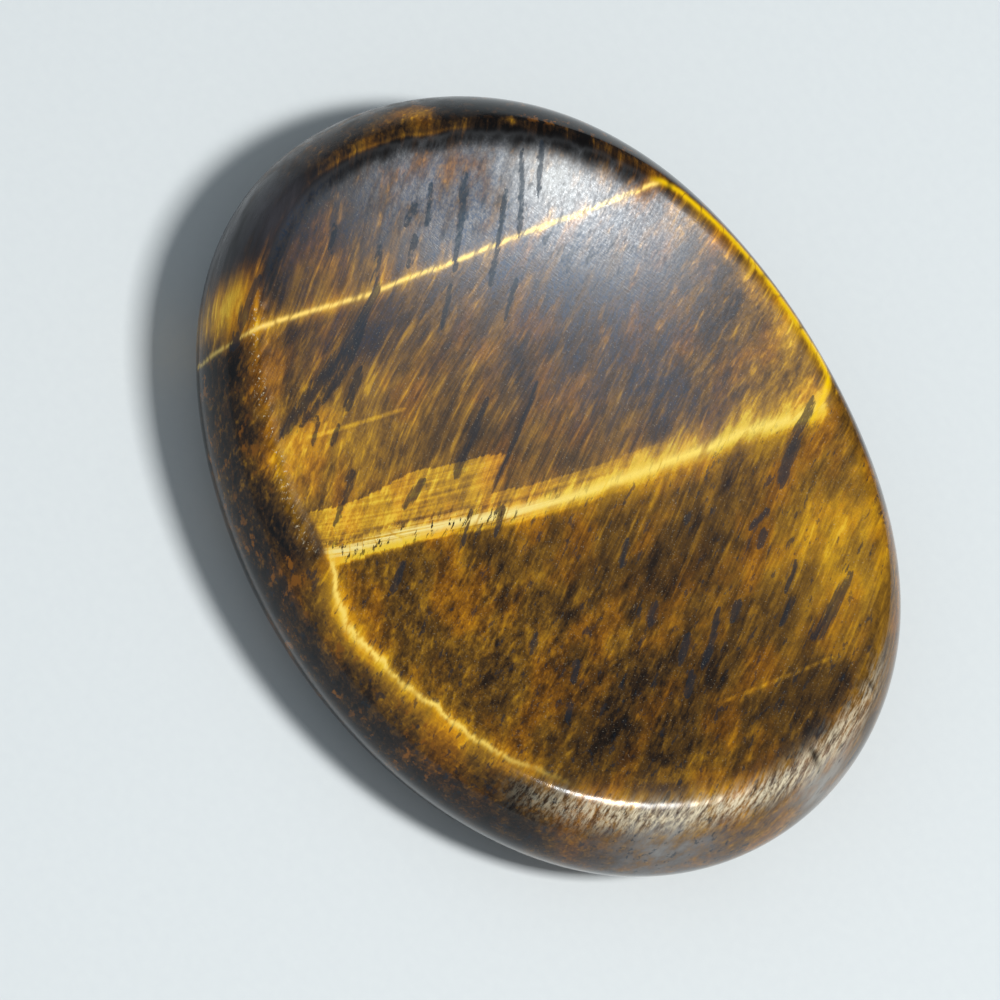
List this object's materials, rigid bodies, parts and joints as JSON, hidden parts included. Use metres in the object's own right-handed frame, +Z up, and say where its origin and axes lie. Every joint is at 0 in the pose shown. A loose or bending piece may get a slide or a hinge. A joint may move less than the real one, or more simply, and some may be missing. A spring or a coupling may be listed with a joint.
{
  "type": "tiger's eye worry stone",
  "caption": "Oval polished tiger's eye stone with a flat base and a shallow thumb hollow ground into its top, for holding and rubbing.",
  "frame": {"origin": "middle of the flat base that the stone rests on", "axes": "+Z up through the thumb hollow, X along the stone's long axis, Y across it"},
  "size_m": [0.0456, 0.0362, 0.0091],
  "materials": {
    "tigers_eye": "polished tiger's eye, golden brown fibres with dark blue streaks, satin in the hollow"
  },
  "bodies": {
    "root": {"worry_stone": "tigers_eye"}
  },
  "joints": []
}
